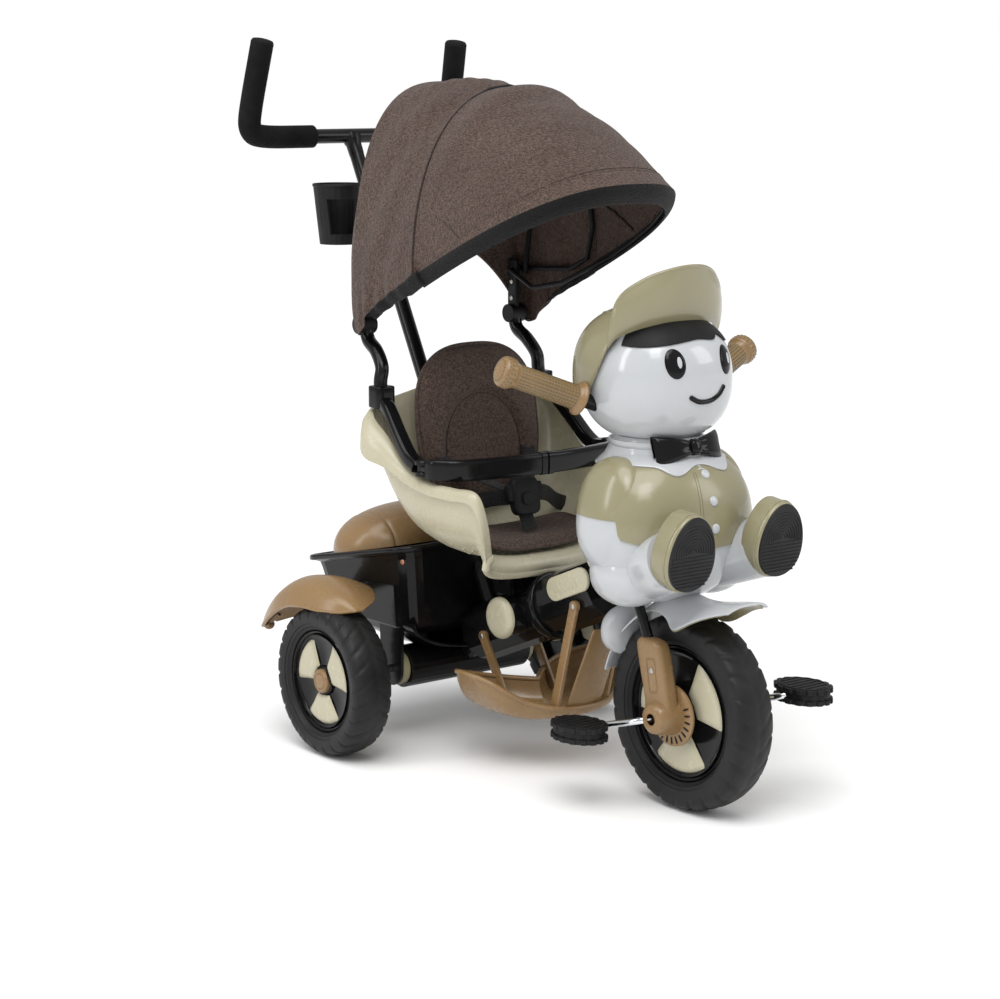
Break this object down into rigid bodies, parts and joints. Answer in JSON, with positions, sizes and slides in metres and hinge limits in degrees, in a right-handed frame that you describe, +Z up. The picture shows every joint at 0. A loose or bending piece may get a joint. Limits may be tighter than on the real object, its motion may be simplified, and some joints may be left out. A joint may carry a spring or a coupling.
{
  "type": "children's tricycle",
  "caption": "Child push tricycle with folding canopy, guard bar, lidded trunk, foot trays, telescoping push handle and a toy figure on the steering column.",
  "frame": {"origin": "centre of the bounding box, on the floor", "axes": "+Z up; the rider faces -Y, so the rider's right is -X and the push handle is at +Y"},
  "size_m": [0.5024, 0.8898, 0.9681],
  "materials": {
    "black_gloss": "gloss",
    "black_metal": "gloss",
    "bow": "satin",
    "black_matt": "matt",
    "webbing": "woven",
    "foam": "matt foam",
    "tyre": "matt, lugged",
    "chrome": "polished",
    "tan": "gloss",
    "cream": "gloss",
    "khaki": "gloss",
    "white": "gloss",
    "fabric": "melange weave"
  },
  "bodies": {
    "frame": {"main_beam": "black_gloss", "rear_axle_housing": "black_metal", "rear_axle": "chrome", "trunk": "black_gloss", "rear_fender_right": "tan", "rear_fender_left": "tan", "beam_cap_right": "cream", "beam_cap_left": "cream", "beam_tag_right": "cream", "beam_tag_left": "cream", "seat_shell": "cream", "seat_back_pad": "fabric", "seat_pad": "fabric", "harness": "webbing", "seat_bracket": "black_gloss", "guard_rail_right": "black_gloss", "guard_rail_left": "black_gloss", "canopy_pole_right": "black_metal", "canopy_pole_left": "black_metal", "canopy_bracket_right": "black_gloss", "canopy_bracket_left": "black_gloss", "canopy_rear_bow": "bow", "canopy_back_panel": "fabric", "canopy_rear_fabric": "fabric", "handle_socket": "black_gloss", "footrest": "tan"},
    "trunk_lid": {"trunk_lid": "tan"},
    "guard_bar_right": {"guard_bar_right": "black_gloss"},
    "guard_bar_left": {"guard_bar_left": "black_gloss"},
    "canopy_middle": {"canopy_middle_bow": "bow"},
    "canopy_front": {"canopy_front_bow": "bow", "canopy_front_fabric": "fabric"},
    "push_handle": {"push_pole": "black_metal", "foam_grip_right": "foam", "foam_grip_left": "foam", "cup_holder": "black_matt"},
    "steering": {"fork": "black_metal", "fork_cover_right": "tan", "fork_cover_left": "tan", "mudguard": "white", "handlebar": "black_metal", "grip_right": "tan", "grip_left": "tan", "figure_body": "white", "figure_head": "white", "figure_cap": "khaki", "bow_tie": "black_gloss", "shoe_right": "khaki", "shoe_left": "khaki"},
    "front_wheel": {"front_tyre": "tyre", "front_rim": "black_gloss", "crank_axle": "chrome"},
    "pedal_right": {"pedal_right": "black_matt"},
    "pedal_left": {"pedal_left": "black_matt"},
    "rear_wheel_right": {"rear_tyre_right": "tyre", "rear_rim_right": "black_gloss"},
    "rear_wheel_left": {"rear_tyre_left": "tyre", "rear_rim_left": "black_gloss"}
  },
  "joints": [
    {"name": "steering_turn", "type": "hinge", "parent": "frame", "child": "steering", "pos_m": [0, -0.24747, 0.35], "axis": [0, 0.2079, 0.9781], "range_deg": [-28, 28]},
    {"name": "front_wheel_spin", "type": "hinge", "parent": "steering", "child": "front_wheel", "pos_m": [0, -0.308, 0.1264], "axis": [1, 0, 0], "continuous": true},
    {"name": "pedal_right_spin", "type": "hinge", "parent": "front_wheel", "child": "pedal_right", "pos_m": [-0.112, -0.22149, 0.10159], "axis": [1, 0, 0], "continuous": true},
    {"name": "pedal_left_spin", "type": "hinge", "parent": "front_wheel", "child": "pedal_left", "pos_m": [0.112, -0.39451, 0.15121], "axis": [1, 0, 0], "continuous": true},
    {"name": "rear_wheel_right_spin", "type": "hinge", "parent": "frame", "child": "rear_wheel_right", "pos_m": [-0.2175, 0.175, 0.105], "axis": [1, 0, 0], "continuous": true},
    {"name": "rear_wheel_left_spin", "type": "hinge", "parent": "frame", "child": "rear_wheel_left", "pos_m": [0.2175, 0.175, 0.105], "axis": [1, 0, 0], "continuous": true},
    {"name": "push_handle_slide", "type": "slide", "parent": "frame", "child": "push_handle", "axis": [0, 0.4647, 0.8855], "range_m": [-0.05, 0.03]},
    {"name": "canopy_middle_fold", "type": "hinge", "parent": "frame", "child": "canopy_middle", "pos_m": [0, 0.219, 0.646], "axis": [-1, 0, 0], "range_deg": [0, 25], "deforming": ["canopy_rear_fabric"]},
    {"name": "canopy_front_fold", "type": "hinge", "parent": "canopy_middle", "child": "canopy_front", "pos_m": [0, 0.219, 0.646], "axis": [-1, 0, 0], "range_deg": [0, 20], "deforming": ["canopy_front_fabric"]},
    {"name": "guard_bar_right_swing", "type": "hinge", "parent": "frame", "child": "guard_bar_right", "pos_m": [-0.154, 0.052, 0.407], "axis": [0, 0, -1], "range_deg": [0, 58]},
    {"name": "guard_bar_left_swing", "type": "hinge", "parent": "frame", "child": "guard_bar_left", "pos_m": [0.154, 0.052, 0.407], "axis": [0, 0, 1], "range_deg": [0, 58]},
    {"name": "trunk_lid_open", "type": "hinge", "parent": "frame", "child": "trunk_lid", "pos_m": [0, 0.173, 0.2785], "axis": [1, 0, 0], "range_deg": [0, 22]}
  ]
}
